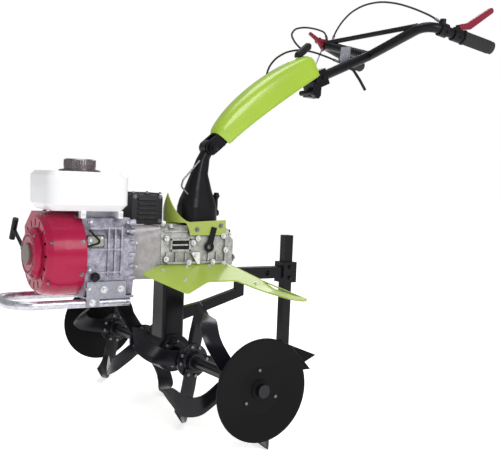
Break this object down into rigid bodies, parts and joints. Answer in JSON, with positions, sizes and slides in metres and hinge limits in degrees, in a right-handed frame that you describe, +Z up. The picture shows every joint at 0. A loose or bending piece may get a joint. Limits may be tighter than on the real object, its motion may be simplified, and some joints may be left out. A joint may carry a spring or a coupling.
{
  "type": "walk-behind rotary tiller",
  "caption": "Walk-behind rotary tiller: petrol engine, gear case, bladed rotor with guard discs, fender, depth bar and an adjustable handlebar.",
  "frame": {"origin": "on the floor under the middle of the footprint", "axes": "+X the direction of travel, +Y the machine's left, +Z up"},
  "size_m": [1.403, 0.972, 1.22],
  "materials": {
    "black_enamel": "satin black enamel",
    "disc_black": "satin black enamel on steel sheet",
    "lime_paint": "gloss lime green paint",
    "lime_plastic": "moulded lime green plastic",
    "red_paint": "gloss crimson paint",
    "tank_white": "gloss white paint",
    "cast_aluminium": "sand cast aluminium",
    "zinc_plate": "zinc plated steel",
    "black_plastic": "black moulded plastic",
    "cable_sheath": "black sheathed control cable",
    "muffler_black": "heat resistant black",
    "grip_rubber": "black rubber grip",
    "lever_red": "red moulded plastic"
  },
  "bodies": {
    "root": {"leg_case": "black_enamel", "gear_case": "cast_aluminium", "gear_case_cover": "cast_aluminium", "bell_housing": "cast_aluminium", "crankcase": "cast_aluminium", "cylinder_barrel": "cast_aluminium", "cylinder_head": "cast_aluminium", "rocker_cover": "zinc_plate", "fan_shroud": "red_paint", "recoil_cover": "red_paint", "recoil_cap": "zinc_plate", "recoil_handle": "black_plastic", "fuel_tank": "tank_white", "fuel_cap": "black_plastic", "tank_bracket": "zinc_plate", "air_cleaner": "black_plastic", "muffler": "muffler_black", "exhaust_pipe": "muffler_black", "engine_mount": "zinc_plate", "front_bumper": "zinc_plate", "column_pivot": "black_enamel", "column_collar": "lime_paint", "swing_latch": "black_enamel", "throttle_lever": "black_enamel", "hitch_bar": "black_enamel", "hitch_brace": "black_enamel", "post_clamp": "black_enamel", "fender": "lime_paint"},
    "rotor": {"tine_shaft": "black_enamel", "tine_star_left_inner": "black_enamel", "tine_star_left_outer": "black_enamel", "tine_star_right_inner": "black_enamel", "tine_star_right_outer": "black_enamel", "guard_disc_left": "disc_black", "guard_disc_right": "disc_black"},
    "column": {"column": "black_enamel", "column_lock": "black_plastic", "selector_rod": "zinc_plate"},
    "handlebar": {"handlebar_arm": "black_enamel", "handlebar_cover": "lime_plastic", "handlebar_tube": "black_enamel", "handlebar_stem": "black_enamel", "handlebar_brace": "black_enamel", "handlebar_clamp": "black_enamel", "grip_left": "grip_rubber", "grip_right": "grip_rubber", "clutch_lever": "lever_red", "lever_clamp": "black_enamel", "cable_clamp": "black_enamel", "reverse_lever": "lever_red", "console_plate": "zinc_plate", "shift_rod": "black_enamel", "clamp_lever": "black_enamel", "cable_gland": "black_plastic", "clutch_cable": "cable_sheath", "reverse_cable": "cable_sheath", "throttle_cable": "cable_sheath", "reverse_rod": "zinc_plate"},
    "depth_bar": {"depth_bar": "black_enamel", "ridger": "black_enamel"}
  },
  "joints": [
    {"name": "rotor_spin", "type": "hinge", "parent": "root", "child": "rotor", "pos_m": [0.22465, 0, 0.15133], "axis": [0, 1, 0], "continuous": true},
    {"name": "column_swing", "type": "hinge", "parent": "root", "child": "column", "pos_m": [0.14465, 0, 0.511], "axis": [0, 0, 1], "range_deg": [-30, 30]},
    {"name": "handlebar_lift", "type": "hinge", "parent": "column", "child": "handlebar", "pos_m": [0.11265, 0, 0.722], "axis": [0, 1, 0], "range_deg": [-25, 8]},
    {"name": "depth_slide", "type": "slide", "parent": "root", "child": "depth_bar", "axis": [0, 0, 1], "range_m": [0, 0.1]}
  ]
}
